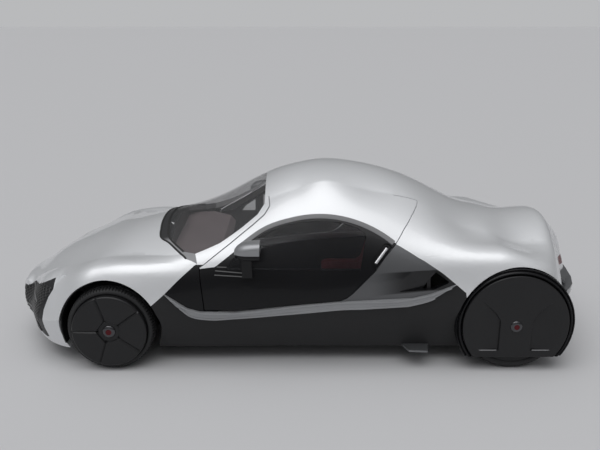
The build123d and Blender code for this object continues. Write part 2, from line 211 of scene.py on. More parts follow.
def moulded(name, pale, dark, roughness, grain, depth):
    # moulded plastic or rubber: a pebbled grain, rubbed lighter in patches
    settings, share = mouldSettings, mouldSettings["pebbleShare"]
    material, shader, place = newFinish(name, {"Specular IOR Level": settings["shine"]})
    pebbles, rubbed = place.noise(grain, 2.0), place.noise(settings["rubbed"], 4.0)
    (rubbed * (1 - share) + pebbles * share).blendTo(rgb(*dark), rgb(*pale)).into(shader, "Base Color")
    (rubbed * settings["uneven"] + (roughness - settings["uneven"] / 2)).into(shader, "Roughness")
    pebbles.bump(settings["bump"], depth).into(shader, "Normal")
    return material


tintSettings = {"haze": 1.5, "shade": 0.7, "uneven": 0.06, "roughness": 0.02, "bending": 1.5}


def tinted(name, tint, alpha):
    # tinted sheet: mostly see-through, a little smoky unevenness
    settings = tintSettings
    sockets = {"Roughness": settings["roughness"], "IOR": settings["bending"]}
    material, shader, place = newFinish(name, sockets)
    haze = place.noise(settings["haze"])
    shaded = rgb(*(settings["shade"] * value for value in tint))
    haze.blendTo(rgb(*tint), shaded).into(shader, "Base Color")
    (haze * settings["uneven"] + (alpha - settings["uneven"] / 2)).into(shader, "Alpha")
    return material


# cowl: where its pale border begins and ends, as distance from the centre line
cowlSettings = {
    "border": (0.40, 0.47), "grain": 800.0, "grainShare": 0.1, "roughness": 0.40, "shine": 0.35,
    "bump": (0.3, 0.0003),
}


def cowlFinish(name, pale, dark, settings):
    # satin trim, dark in the middle and pale at both ends
    material, shader, place = newFinish(name, {"Specular IOR Level": settings["shine"]})
    mask = place.maths("ABSOLUTE", place.axis(1)).ramp(*settings["border"])
    grain, share = place.noise(settings["grain"], 2.0), settings["grainShare"]
    (mask * (1 - share) + grain * share).blendTo(rgb(*dark), rgb(*pale)).into(shader, "Base Color")
    (grain * share + settings["roughness"]).into(shader, "Roughness")
    grain.bump(*settings["bump"]).into(shader, "Normal")
    return material


# side intake on the quarter panel, painted as shade: height and slope of its lower and upper edge, measured
# from the start, and where the painted shade begins and is full
intakeShadeSettings = {
    "low": (0.564, 0.114), "high": (0.727, 0.083), "start": 0.616, "shade": (0.50, 0.78), "soft": 0.012,
    "metal": 0.4, "coat": 0.4, "coatRoughness": 0.05, "flakeShare": 0.06, "roughness": 0.30,
}


def quarterShadeFinish(name, pale, dark, settings):
    # grey paint standing for silver in painted shade, turning black between two lines z = height + slope *
    # (x - start), fading in along x
    material, shader, place = newFinish(name, {
        "Metallic": settings["metal"], "Coat Weight": settings["coat"],
        "Coat Roughness": settings["coatRoughness"],
    })
    x, z, soft, share = place.axis(0), place.axis(2), settings["soft"], settings["flakeShare"]
    run = x - settings["start"]
    (low, lowSlope), (high, highSlope) = settings["low"], settings["high"]
    above = (z - run * lowSlope).ramp(low, low + soft)
    below = (z - run * highSlope).ramp(high - soft, high, 1.0, 0.0)
    along = x.ramp(*settings["shade"])
    flakes = place.cells(paintSettings["flakes"])
    # the black between the two lines is painted shade of the intake hollow
    shade = above * below * along * (1 - share) + flakes * share
    shade.blendTo(rgb(*pale), rgb(*dark)).into(shader, "Base Color")
    uneven = place.noise(paintSettings["clouds"]) * paintSettings["uneven"]
    (uneven + settings["roughness"]).into(shader, "Roughness")
    orangePeel(place).into(shader, "Normal")
    return material


finishes = {
    "silver_paint": paintFinish("silverPaint", (0.80, 0.81, 0.825), (0.69, 0.70, 0.715), 0.32, 0.36, 0.6),
    "grey_paint": paintFinish("greyPaint", (0.20, 0.205, 0.215), (0.13, 0.135, 0.14), 0.6, 0.33),
    "cap_silver": paintFinish("capSilver", (0.72, 0.72, 0.73), (0.58, 0.58, 0.60), 0.9, 0.26),
    "alloy": paintFinish("castAlloy", (0.45, 0.45, 0.46), (0.34, 0.34, 0.35), 0.9, 0.42),
    "steel": paintFinish("darkSteel", (0.20, 0.20, 0.20), (0.12, 0.12, 0.12), 0.8, 0.45),
    "black_gloss": paintFinish(
        "blackGloss", (0.008, 0.008, 0.009), (0.004, 0.004, 0.005), 0.0, 0.24, 0.10, 0.20),
    "wheel_black": paintFinish(
        "wheelBlack", (0.018, 0.018, 0.019), (0.011, 0.011, 0.012), 0.0, 0.36, 0.14, 0.26),
    "dark_plastic": moulded(
        "darkPlastic", (0.022, 0.022, 0.023), (0.013, 0.013, 0.014), 0.50, 900.0, 0.0004),
    "mesh_black": moulded("meshBlack", (0.030, 0.030, 0.032), (0.015, 0.015, 0.016), 0.45, 700.0, 0.0003),
    "cabin_trim": moulded("cabinTrim", (0.31, 0.250, 0.257), (0.19, 0.152, 0.158), 0.60, 650.0, 0.0005),
    "seat_leather": moulded("seatLeather", (0.34, 0.10, 0.11), (0.22, 0.06, 0.07), 0.45, 420.0, 0.0006),
    "pad_rubber": moulded("padRubber", (0.030, 0.030, 0.030), (0.018, 0.018, 0.018), 0.70, 800.0, 0.0004),
    "tyre_rubber": moulded("tyreRubber", (0.034, 0.034, 0.035), (0.018, 0.018, 0.019), 0.62, 500.0, 0.0004),
    "gasket_grey": moulded("gasketGrey", (0.24, 0.24, 0.245), (0.17, 0.17, 0.175), 0.45, 900.0, 0.0002),
    "tinted_glass": tinted("tintedGlass", (0.030, 0.030, 0.034), 0.20),
    "screen_glass": tinted("screenGlass", (0.16, 0.16, 0.164), 0.24),
    "red_lens": tinted("redLens", (0.13, 0.006, 0.008), 0.90),
    "clear_lens": tinted("clearLens", (0.86, 0.88, 0.90), 0.88),
    # strip silver is silver darkened to mid grey: painted shade of the downward-facing sill strip and its
    # beads; the mirror caps share it
    "strip_silver": paintFinish("stripSilver", (0.33, 0.335, 0.345), (0.27, 0.275, 0.285), 0.40, 0.36, 0.5),
    "lattice_dark": paintFinish("latticeDark", (0.11, 0.11, 0.11), (0.06, 0.06, 0.06), 0.6, 0.40, 0.4),
    "hub_chrome": paintFinish("hubChrome", (0.10, 0.10, 0.105), (0.06, 0.06, 0.065), 0.9, 0.22, 0.4),
    "red_inlay": paintFinish("redInlay", (0.11, 0.005, 0.009), (0.07, 0.003, 0.006), 0.2, 0.35, 0.15, 0.2),
    "cowl_trim": cowlFinish("cowlTrim", (0.30, 0.30, 0.31), (0.016, 0.016, 0.017), cowlSettings),
    "quarter_grey": quarterShadeFinish(
        "quarterPaintedShade", (0.11, 0.112, 0.117), (0.004, 0.004, 0.005), intakeShadeSettings),
}
print("finishes made:", len(finishes))


def smoothStep(low, high, value):
    # 0 at low and before, 1 at high and after, 3 t squared less 2 t cubed between
    t = np.clip((value - low) / (high - low), 0, 1)
    return t * t * (3 - 2 * t)


# the crest of the fenders and haunches: x, y, z of the fold, then the slopes of flank and deck in degrees
crestRows = np.array([
    (-2.085, 0.200, 0.444, -54, 156), (-2.040, 0.246, 0.462, -55, 158), (-1.900, 0.425, 0.520, -38, 162),
    (-1.740, 0.556, 0.616, -37, 170), (-1.620, 0.622, 0.662, -39, 178), (-1.480, 0.697, 0.737, -48, 195),
    (-1.300, 0.705, 0.785, -52, 201), (-1.030, 0.715, 0.792, -57, 196), (-0.690, 0.716, 0.772, -68, 134),
    (-0.450, 0.725, 0.765, -71, 118), (-0.220, 0.732, 0.765, -71, 110), (0.030, 0.736, 0.770, -71, 106),
    (0.390, 0.737, 0.785, -71, 106), (0.690, 0.740, 0.808, -72, 117), (0.870, 0.742, 0.830, -71, 130),
    (1.070, 0.742, 0.855, -68, 153), (1.280, 0.735, 0.873, -62, 179), (1.480, 0.730, 0.872, -57, 191),
    (1.680, 0.722, 0.806, -52, 182), (1.830, 0.655, 0.725, -45, 150), (1.900, 0.540, 0.632, -40, 126),
    (1.960, 0.385, 0.585, -45, 120), (2.020, 0.280, 0.530, -42, 120),
])
crestX = crestRows[:, 0]
crestSettings = {
    "reach": 0.125, "giveBack": 0.42, "giveReach": 0.20,
    "noseFade": (-2.08, -1.72), "centreFade": (0.0, 0.05),
    "foldAngle": 0.16, "lengthwise": 0.45, "search": 0.022, "bin": 0.012,
    "cabinFold": 0.90, "cabinRows": 0.95,  # between these ends the rows stand in for the fold
    "step": 0.016, "passes": 5, "widen": 1.3,
}
crestCarriers = ("grille", "front_clip", "rear_clip")
crestFree = {  # running gear and cabin pieces keep their exact places
    "wheel_liners", "front_subframe", "rear_beam", "knuckle_left", "knuckle_right",
    "rear_wheel_left", "rear_wheel_right", "bulkheads", "dashboard", "console", "engine_block",
    "steering_wheel", "jack_pads", "winglets",
}

# every CAD node shows as a merged copy with smooth faces, crisp where panels turn
copySettings = {"sharpDegrees": 28.0, "mergeDistance": 2e-5}


def meshArrays(mesh):
    # the mesh's points, and the two point numbers of each edge
    points = np.empty(len(mesh.vertices) * 3)
    mesh.vertices.foreach_get("co", points)
    ends = np.empty(len(mesh.edges) * 2, int)
    mesh.edges.foreach_get("vertices", ends)
    return points.reshape(-1, 3), ends.reshape(-1, 2)


def mergedMesh(nodeName, settings):
    # the node's loose triangles, joined
    work = bmesh.new()
    work.from_mesh(frame["nodes"][nodeName].data)
    for layer in list(work.loops.layers.float_vector):
        work.loops.layers.float_vector.remove(layer)
    bmesh.ops.remove_doubles(work, verts=work.verts, dist=settings["mergeDistance"])
    bmesh.ops.dissolve_degenerate(work, edges=work.edges, dist=settings["mergeDistance"])
    return work


def crestDistance(points, lineX, lineY, lineZ):
    # distance to the crest within the cross section at the point's own x, on either side
    y = np.abs(points[:, 1]) - np.interp(points[:, 0], lineX, lineY)
    z = points[:, 2] - np.interp(points[:, 0], lineX, lineZ)
    return np.hypot(y, z)


def findCrest(settings):
    # points of the fold itself: folded edges that run lengthwise close to the crest rows, averaged by place
    found = []
    for nodeName in crestCarriers:
        work = mergedMesh(nodeName, copySettings)
        joined = [edge for edge in work.edges if edge.is_manifold]
        folded = [edge for edge in joined if edge.calc_face_angle(0.0) > settings["foldAngle"]]
        points = np.array([[end.co[:] for end in edge.verts] for edge in folded])
        work.free()
        flat = np.stack([points[..., 0], np.abs(points[..., 1]), points[..., 2]], -1)
        run = flat[:, 1] - flat[:, 0]
        along = np.abs(run[:, 0]) > settings["lengthwise"] * np.linalg.norm(run, axis=1)
        near = crestDistance(flat.mean(1), crestX, crestRows[:, 1], crestRows[:, 2]) < settings["search"]
        found.append(flat[along & near].reshape(-1, 3))
    found = np.concatenate(found)
    place = np.round(found[:, 0] / settings["bin"]).astype(int)
    place -= place.min()
    count = np.bincount(place)
    sums = np.stack([np.bincount(place, found[:, axis]) for axis in range(3)], -1)
    line = sums[count > 0] / count[count > 0][:, None]
    line = line[np.abs(line[:, 0]) > settings["cabinFold"]]
    line = np.concatenate([line, crestRows[np.abs(crestX) < settings["cabinRows"], :3]])
    return line[np.argsort(line[:, 0])]


def roundCrest(points, line, settings):
    # each point moves by reach / 4 times (1 - distance / reach) squared along flank plus deck direction,
    # which is the parabola that joins the two; a wide bell gives part of it back, so that the outline stays
    distance = crestDistance(points, *line.T)
    flank = np.radians(np.interp(points[:, 0], crestX, crestRows[:, 3]))
    deck = np.radians(np.interp(points[:, 0], crestX, crestRows[:, 4]))
    share = np.clip(1 - distance / settings["reach"], 0, 1) ** 2
    share = share - settings["giveBack"] * np.exp(-((distance / settings["giveReach"]) ** 2))
    moved = settings["reach"] / 4 * share * smoothStep(*settings["noseFade"], points[:, 0])
    side = np.where(points[:, 1] < 0, -1.0, 1.0) * smoothStep(*settings["centreFade"], np.abs(points[:, 1]))
    y = side * moved * (np.cos(flank) + np.cos(deck))
    z = moved * (np.sin(flank) + np.sin(deck))
    return points + np.stack([0 * moved, y, z], -1)


def divideNearCrest(work, mesh, settings):
    # halves the edges near the crest that are too long, a few times over
    for passNumber in range(settings["passes"]):
        work.to_mesh(mesh)
        points, ends = meshArrays(mesh)
        length = np.linalg.norm(points[ends[:, 0]] - points[ends[:, 1]], axis=1)
        near = crestDistance(points[ends].mean(1), *crestLine.T) < settings["widen"] * settings["reach"]
        long = near & (length > settings["step"])
        if not long.any():
            break
        edges = list(work.edges)
        bmesh.ops.subdivide_edges(work, edges=[edges[number] for number in np.flatnonzero(long)], cuts=1)
        bmesh.ops.triangulate(work, faces=work.faces)


def mergedCopy(nodeName, settings):
    # the merged mesh, rounded along the crest unless it is free of it, with smooth faces
    mesh = bpy.data.meshes.new(nodeName + "_shown")
    work = mergedMesh(nodeName, settings)
    rounded = nodeName not in crestFree
    if rounded:
        divideNearCrest(work, mesh, crestSettings)
    work.to_mesh(mesh)
    work.free()
    if rounded:
        points, ends = meshArrays(mesh)
        mesh.vertices.foreach_set("co", roundCrest(points, crestLine, crestSettings).ravel())
    mesh.polygons.foreach_set("use_smooth", np.ones(len(mesh.polygons), bool))
    mesh.polygons.foreach_set("material_index", np.zeros(len(mesh.polygons), int))
    while mesh.attributes.get("custom_normal"):
        mesh.attributes.remove(mesh.attributes["custom_normal"])
    mesh.update()
    mesh.set_sharp_from_angle(angle=math.radians(settings["sharpDegrees"]))
    piece = bpy.data.objects.new(nodeName + "_shown", mesh)
    scene.collection.objects.link(piece)
    return piece


crestLine = findCrest(crestSettings)
print("crest found:", len(crestLine), "points")
nodeSlots = {row["node"]: row["material_slot"] for row in frame["record"]["subparts"]}
nodeBodies = {node: body for body, nodes in frame["record"]["behaviour"]["bodies"].items() for node in nodes}


def showNode(nodeName):
    # the copy stands for its node, with the finish of the node's slot
    piece = mergedCopy(nodeName, copySettings)
    piece.data.materials.clear()
    piece.data.materials.append(finishes[nodeSlots[nodeName]])
    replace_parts(piece, nodeName)
    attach(piece, nodeBodies[nodeName])
    return piece


def gridQuads(points, closeRows=False, closeColumns=False):
    # joins neighbouring rows and columns of points[i, j] by quads
    rows, columns = points.shape[:2]
    index = np.arange(rows * columns).reshape(rows, columns)
    if closeRows:
        index = np.vstack([index, index[:1]])
    if closeColumns:
        index = np.hstack([index, index[:, :1]])
    quads = np.stack([index[:-1, :-1], index[1:, :-1], index[1:, 1:], index[:-1, 1:]], -1)
    return points.reshape(-1, 3), quads.reshape(-1, 4)


def closedEnds(points):
    # the same grid with its first and last row drawn together to their middles
    ends = [np.repeat(points[row].mean(0)[None, None, :], points.shape[1], 1) for row in (0, -1)]
    return np.concatenate([ends[0], points, ends[1]])


surfaceSettings = {"merge": 1e-6, "thinnest": 1e-7}


def surfacePiece(name, grids, finish, body, sharpDegrees=40.0):
    # one object at the origin from several grids, doubles merged, normals turned outwards
    starts = np.cumsum([0] + [len(grid[0]) for grid in grids])
    points = np.concatenate([grid[0] for grid in grids])
    quads = np.concatenate([grid[1] + start for grid, start in zip(grids, starts)])
    mesh = bpy.data.meshes.new(name)
    mesh.from_pydata(points.tolist(), [], quads.tolist())
    work = bmesh.new()
    work.from_mesh(mesh)
    bmesh.ops.remove_doubles(work, verts=work.verts, dist=surfaceSettings["merge"])
    bmesh.ops.dissolve_degenerate(work, edges=work.edges, dist=surfaceSettings["thinnest"])
    bmesh.ops.recalc_face_normals(work, faces=work.faces)
    work.to_mesh(mesh)
    work.free()
    mesh.polygons.foreach_set("use_smooth", np.ones(len(mesh.polygons), bool))
    mesh.set_sharp_from_angle(angle=math.radians(sharpDegrees))
    mesh.materials.append(finish)
    piece = bpy.data.objects.new(name, mesh)
    scene.collection.objects.link(piece)
    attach(piece, body)
    return piece


def sideSign(side):
    # the left side is at -Y, the right side at +Y
    return -1.0 if side == "left" else 1.0


def wheelPlace(nodeName):
    # centre, radius, outer and inner face of a wheel node, from its box
    low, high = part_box(nodeName)
    outer, inner = (low.y, high.y) if low.y < 0 else (high.y, low.y)
    return (low.x + high.x) / 2, (low.z + high.z) / 2, (high.x - low.x) / 2, outer, inner


def aroundAxle(centreX, centreZ, r, y, angle):
    # points at radius r and width y, turned about the axle
    return np.stack([centreX + r * np.cos(angle), y + 0 * angle, centreZ + r * np.sin(angle)], -1)


# tyres: a bead to bead profile carried round the axle, cut by ring grooves and slanted cross grooves.
# Places across are shares of the half width, places up the wall shares of its height.
tyreSettings = {
    "front": {"rim": 0.262, "blocks": 84},
    "rear": {"rim": 0.292, "blocks": 92},
    "wall": ((-0.84, 0.0), (-0.93, 0.05), (-0.985, 0.18), (-1.0, 0.34), (-0.985, 0.52), (-0.95, 0.66),
             (-0.90, 0.77), (-0.86, 0.83)),
    "ribs": (0.16, 0.26, 0.50, 0.60, 0.72, 0.80),
    "crown": 0.0035, "shoulder": 0.6, "shoulderFall": 0.1,
    "grooveDepth": 0.0075, "ringGrooves": (0.0, 0.42), "ringHalf": 0.035, "ringLip": 0.012,
    "blockSteps": (0.0, 0.03, 0.36, 0.70, 0.735, 0.965), "crossFrom": 0.72, "crossZone": (0.47, 0.965),
    "crossFoot": 0.7, "slant": 0.5, "slack": 1e-4, "sharpDegrees": 30.0,
}


def tyreSurface(centreX, centreZ, radius, outer, inner, rim, blocks, settings):
    # r = bead to shoulder outline less groove depth; grooves follow the angle, slanted across the tread
    height, ring, lip = radius - rim, settings["ringHalf"], settings["ringLip"]
    wall = np.array(settings["wall"]) * (1, height) + (0, rim)
    ribs, grooves = np.array(settings["ribs"]), np.array(settings["ringGrooves"])
    middles = np.unique(np.concatenate([-grooves, grooves]))
    ringEdges = (middles[:, None] + np.array([-ring - lip, -ring, ring, ring + lip])).ravel()
    across = np.sort(np.concatenate([-ribs, ribs, ringEdges]))
    fall = settings["shoulderFall"] * np.clip(np.abs(across) - settings["shoulder"], 0, 1) ** 2
    tread = np.stack([across, radius - settings["crown"] * across**2 - fall], -1)
    profile = np.concatenate([wall, tread, wall[::-1] * (-1, 1)])
    part = np.array(settings["blockSteps"])
    steps = (np.arange(blocks)[:, None] + part[None, :]).ravel()
    v, r = profile[:, 0][None, :], profile[:, 1][None, :]
    reach = np.abs(v)
    inRing = (np.abs(reach[..., None] - grooves) < ring + settings["slack"]).any(-1)
    inRing = inRing & (reach < settings["shoulder"])
    near, far = settings["crossZone"]
    zone = (reach > near) & (reach < far) & (r > rim + settings["crossFoot"] * height)
    inCross = (np.tile(part, blocks) > settings["crossFrom"])[:, None] & zone
    angle = (steps[:, None] + settings["slant"] * reach) * 2 * math.pi / blocks
    y = (outer + inner) / 2 + v * (inner - outer) / 2
    points = aroundAxle(centreX, centreZ, r - settings["grooveDepth"] * (inRing | inCross), y, angle)
    return gridQuads(points, closeRows=True, closeColumns=True)


def makeTyre(axle, side):
    # one tyre, in the place of its CAD node
    node = f"{axle}_tyre_{side}"
    settings, body, sharp = tyreSettings[axle], nodeBodies[node], tyreSettings["sharpDegrees"]
    grid = tyreSurface(*wheelPlace(node), settings["rim"], settings["blocks"], tyreSettings)
    rubber = finishes["tyre_rubber"]
    piece = surfacePiece(f"{axle}_tread_{side}", [grid], rubber, body, sharp)
    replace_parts(piece, node)


# front wheel: a flush disc with five V grooves, a five-sided hub well and a domed cap
discSettings = {
    "faceSunk": 0.003, "edgeRound": 0.014, "edgeStart": 0.002, "crown": 0.004, "grooveHalf": 0.011,
    "grooveDepth": 0.008, "grooveStart": 0.080, "grooveFade": 0.01, "wellReach": 0.090, "wellDepth": 0.013,
    "wellEdge": (0.003, -0.004), "barrelWall": 0.010, "faceBack": 0.030, "chamfer": 0.004, "hub": 0.070,
    "hubShort": 0.050, "bore": 0.030, "capRadius": 0.046, "capRise": 0.014, "inlayRadius": 0.021,
    "rings": 92, "edgeRings": 9, "turns": 480, "sharpDegrees": 28.0,
}
spokeAngles = np.radians([180, 108, 36, -36, -108])


def discHeight(r, angle, radius, settings):
    # height outwards: a shallow crown, a rounded edge, V grooves along five rays, a sunk pentagon
    edge, start = settings["edgeRound"], settings["grooveStart"]
    past = np.clip(r - (radius - edge), 0, edge)
    height = -settings["crown"] * (r / radius) ** 2 - (edge - np.sqrt(edge**2 - past**2))
    well = np.full_like(r * angle, -1.0)
    for spoke in spokeAngles:
        along, beside = r * np.cos(angle - spoke), np.abs(r * np.sin(angle - spoke))
        depth = np.clip(1 - beside / settings["grooveHalf"], 0, 1)
        depth = depth * smoothStep(start - settings["grooveFade"], start, along)
        height = height - settings["grooveDepth"] * depth
        well = np.maximum(well, r * np.cos(angle - spoke - math.pi / 5))
    flat = settings["wellReach"] * math.cos(math.pi / 5)
    outer, inner = settings["wellEdge"]
    return height - settings["wellDepth"] * smoothStep(flat + outer, flat + inner, well)


def roundSurface(centreX, centreZ, profile, count=96):
    # a profile of (radius, y) pairs turned about the axle
    angle = np.linspace(0, 2 * math.pi, count, endpoint=False)[:, None]
    points = aroundAxle(centreX, centreZ, profile[:, 0][None, :], profile[:, 1][None, :], angle)
    return gridQuads(points, closeRows=True)


def makeFrontWheel(side):
    # the disc over a polar grid, and behind it a barrel with a hub, turned from one profile
    node = f"front_wheel_{side}"
    centreX, centreZ, radius, outer, inner = wheelPlace(node)
    sign, settings = sideSign(side), discSettings
    face = outer - sign * settings["faceSunk"]
    edge, chamfer, hub = settings["edgeRound"], settings["chamfer"], settings["hub"]
    rolled = radius - edge * (1 - np.sin(np.linspace(0, 1, settings["edgeRings"]) * math.pi / 2))
    plain = np.linspace(0, radius - edge - settings["edgeStart"], settings["rings"])
    r = np.concatenate([plain, rolled])[:, None]
    angle = np.linspace(0, 2 * math.pi, settings["turns"], endpoint=False)[None, :]
    disc = aroundAxle(centreX, centreZ, r, face + sign * discHeight(r, angle, radius, settings), angle)
    back, wall = face - sign * settings["faceBack"], settings["barrelWall"]
    low = face - sign * (settings["crown"] + edge)
    hubEnd = inner + sign * settings["hubShort"]
    barrel = np.array([
        (radius, low), (radius, inner), (radius - wall, inner), (radius - wall, back - sign * chamfer),
        (radius - wall - chamfer, back), (hub + chamfer, back), (hub, back - sign * chamfer), (hub, hubEnd),
        (hub - chamfer, hubEnd - sign * chamfer), (settings["bore"], hubEnd - sign * chamfer),
        (settings["bore"], back),
    ])
    grids = [gridQuads(disc, closeColumns=True), roundSurface(centreX, centreZ, barrel)]
    body, black, sharp = nodeBodies[node], finishes["wheel_black"], settings["sharpDegrees"]
    piece = surfacePiece(f"front_disc_{side}", grids, black, body, sharp)
    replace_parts(piece, node)
    seat = face - sign * settings["wellDepth"]
    makeCap(f"front_cap_{side}", centreX, centreZ, seat, sign, settings, body)


# hub caps: how far the foot goes in, and how the inlay lies below the dome's rim
capSettings = {"foot": 0.002, "sunk": 0.003, "dish": 0.0005, "lip": 0.001, "bends": 14}


def makeCap(name, centreX, centreZ, seat, sign, settings, body):
    # a dark metal dome, a quarter turn of an ellipse, and a plain dark red inlay sunk in its middle
    radius, rise, inlay = settings["capRadius"], settings["capRise"], settings["inlayRadius"]
    bend = np.linspace(0, math.pi / 2, capSettings["bends"])
    dome = np.stack([inlay + (radius - inlay) * np.sin(bend), seat + sign * rise * np.cos(bend)], -1)
    foot = np.array([(radius, seat - sign * capSettings["foot"])])
    floor = rise - capSettings["sunk"]
    sunk = np.array([
        (0.0, seat + sign * floor),
        (inlay - capSettings["lip"], seat + sign * (floor + capSettings["dish"])),
        (inlay, seat + sign * rise),
    ])
    grid = roundSurface(centreX, centreZ, np.concatenate([dome, foot]))
    surfacePiece(name, [grid], finishes["hub_chrome"], body)
    grid = roundSurface(centreX, centreZ, sunk)
    surfacePiece(name + "_inlay", [grid], finishes["red_inlay"], body)


# rear wheel: fixed cover with two faded pockets, a beaded arch ring and a small domed cap
coverSettings = {
    "wall": 0.024, "edgeRound": 0.008, "crown": 0.006, "band": 0.110, "pocketDepth": 0.016,
    "pocketFoot": -0.188, "step": 0.005, "slope": ((0.110, 0.150, 0.330), (0.040, 0.105, 0.262)),
    "slopeShare": 0.75, "fade": (0.215, 0.325), "edgeShares": (0.982, 0.988, 0.994, 0.998, 1.0),
    "capRadius": 0.042, "capRise": 0.013, "inlayRadius": 0.019, "capSunk": 0.001,
    "rings": 130, "ringsTo": 0.975, "turns": 480, "sharpDegrees": 30.0,
    "leastSine": 0.05,  # rays less steep than this end at the disc's edge
}
ringSettings = {
    "back": 0.740, "overlap": 0.001, "turns": 160, "sharpDegrees": 30.0,
    "profile": np.array([  # share of the ring's width from outside in, share of its depth from back to front
        (0.00, 0.00), (0.00, 0.62), (0.02, 0.76), (0.10, 0.83), (0.22, 0.80), (0.27, 0.72), (0.33, 0.74),
        (0.40, 0.90), (0.52, 0.99), (0.66, 1.00), (0.82, 0.94), (0.94, 0.82), (1.00, 0.66), (1.00, 0.00),
    ]),
}


def makeRearCover(side):
    # height over a grid of (share of the reach, angle); the reach is the disc's edge or its flat foot
    sign, settings = sideSign(side), coverSettings
    low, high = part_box("rear_wheel_covers")
    centreX, centreZ = wheelPlace(f"rear_tyre_{side}")[:2]
    radius, foot, edge = (high.x - low.x) / 2, centreZ - low.z, settings["edgeRound"]
    back, front = sign * (high.y - settings["wall"]), sign * high.y
    angle = np.linspace(-math.pi, math.pi, settings["turns"], endpoint=False)[None, :]
    reach = np.minimum(radius, foot / np.maximum(-np.sin(angle), settings["leastSine"]))
    shares = np.linspace(0, settings["ringsTo"], settings["rings"])
    r = np.concatenate([shares, settings["edgeShares"]])[:, None] * reach
    x, z = r * np.cos(angle), r * np.sin(angle)
    top = np.interp(np.abs(x), *settings["slope"])
    inside = np.minimum(np.abs(x) - settings["band"], settings["slopeShare"] * (top - z))
    inside = np.minimum(inside, z - settings["pocketFoot"])
    pocket = smoothStep(0, settings["step"], inside) * (1 - smoothStep(*settings["fade"], r))
    past = np.clip(r - (reach - edge), 0, edge)
    roll = edge - np.sqrt(edge**2 - past**2)
    height = -settings["crown"] * (r / radius) ** 2 - settings["pocketDepth"] * pocket - roll
    face = np.stack([centreX + x, front + sign * height, centreZ + z], -1)
    rear = np.stack([centreX + x, back + 0 * x, centreZ + z], -1)[[-1, 0]]
    grids = [gridQuads(np.concatenate([face, rear]), closeColumns=True)]
    black, sharp = finishes["wheel_black"], settings["sharpDegrees"]
    piece = surfacePiece(f"rear_cover_{side}", grids, black, "chassis", sharp)
    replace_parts(piece, "rear_wheel_covers", "rear_hub_caps")
    seat = front - sign * settings["capSunk"]
    makeCap(f"rear_cap_{side}", centreX, centreZ, seat, sign, settings, "chassis")


def makeArchRing(side):
    # the ring's profile carried round the axle from foot to foot, with closed ends
    sign, settings = sideSign(side), ringSettings
    low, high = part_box("rear_arch_rings")
    coverLow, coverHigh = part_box("rear_wheel_covers")
    centreX, centreZ = wheelPlace(f"rear_tyre_{side}")[:2]
    outside, inside = (high.x - low.x) / 2, (coverHigh.x - coverLow.x) / 2 + settings["overlap"]
    across, deep = settings["profile"].T
    r = (outside + (inside - outside) * across)[None, :]
    y = sign * (settings["back"] + (high.y - settings["back"]) * deep)[None, :]
    footAngle = np.arcsin((centreZ - low.z) / r)
    angle = -footAngle + np.linspace(0, 1, settings["turns"])[:, None] * (math.pi + 2 * footAngle)
    grids = [gridQuads(closedEnds(aroundAxle(centreX, centreZ, r, y, angle)), closeColumns=True)]
    black, sharp = finishes["black_gloss"], settings["sharpDegrees"]
    piece = surfacePiece(f"rear_ring_{side}", grids, black, "chassis", sharp)
    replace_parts(piece, "rear_arch_rings")


for wheelSide in ("left", "right"):
    makeTyre("front", wheelSide)
    makeTyre("rear", wheelSide)
    makeFrontWheel(wheelSide)
    makeRearCover(wheelSide)
    makeArchRing(wheelSide)
print("wheels made")


# seats: one crowned pad swept along the squab and the back, with bolsters and sewn channels, on a bucket.
# The path is (x, z); places across are shares of the half width, places along shares of the run.
seatSettings = {
    "path": np.array([
        (0.215, 0.345), (0.33, 0.338), (0.44, 0.330), (0.53, 0.330), (0.585, 0.365), (0.625, 0.440),
        (0.665, 0.555), (0.710, 0.690), (0.755, 0.820), (0.800, 0.915), (0.835, 0.945),
    ]),
    "half": 0.212, "inset": 0.008, "thick": 0.052, "crown": (0.8, 0.2, 1.2), "endPower": 14, "edgePower": 10,
    "bolster": 0.050, "bolsterAt": 0.78, "bolsterWide": 0.15, "bolsterLevel": (0.55, 0.45),
    "bolsterTop": 0.62,  # part way up the back
    "channel": 0.006, "pitch": 0.062, "wavePower": 0.35,
    "seamAt": 0.50, "seamWide": 0.018, "seamDeeper": 1.2, "seamClear": 0.02,
    "waist": 0.05, "neckFrom": 0.72, "neck": 0.22, "baseShare": 0.45, "underShare": 0.30,
    "bucketWall": 0.022, "bucketDrop": 0.050, "bucketRise": 0.55, "bucketWider": 0.006,
    "foot": (0.24, 0.56), "footTop": 0.285, "footHalf": 0.15,
    "rows": 150, "columns": 81, "sharpDegrees": 60.0,
}


def smoothPath(points, count):
    # even steps along rounded corners: a cubic through the points by their run length
    run = np.concatenate([[0], np.cumsum(np.hypot(*np.diff(points, axis=0).T))])
    slope = np.gradient(points, run, axis=0)
    at = np.linspace(0, run[-1], count)
    i = np.clip(np.searchsorted(run, at) - 1, 0, len(run) - 2)
    width = (run[i + 1] - run[i])[:, None]
    t = ((at - run[i]) / width[:, 0])[:, None]
    return ((2 * t**3 - 3 * t**2 + 1) * points[i] + (t**3 - 2 * t**2 + t) * width * slope[i]
            + (3 * t**2 - 2 * t**3) * points[i + 1] + (t**3 - t**2) * width * slope[i + 1]), at


def wrapped(upper, lower, across, shared=0):
    # one closed loop of columns from an upper and a lower sheet of (x, z) points at the same places across;
    # columns that both sheets share at an edge come from the upper one alone
    there = np.stack([upper[..., 0], across, upper[..., 1]], -1)
    back = np.stack([lower[..., 0], across, lower[..., 1]], -1)[:, ::-1]
    return np.concatenate([there, back[:, shared:across.shape[1] - shared]], 1)


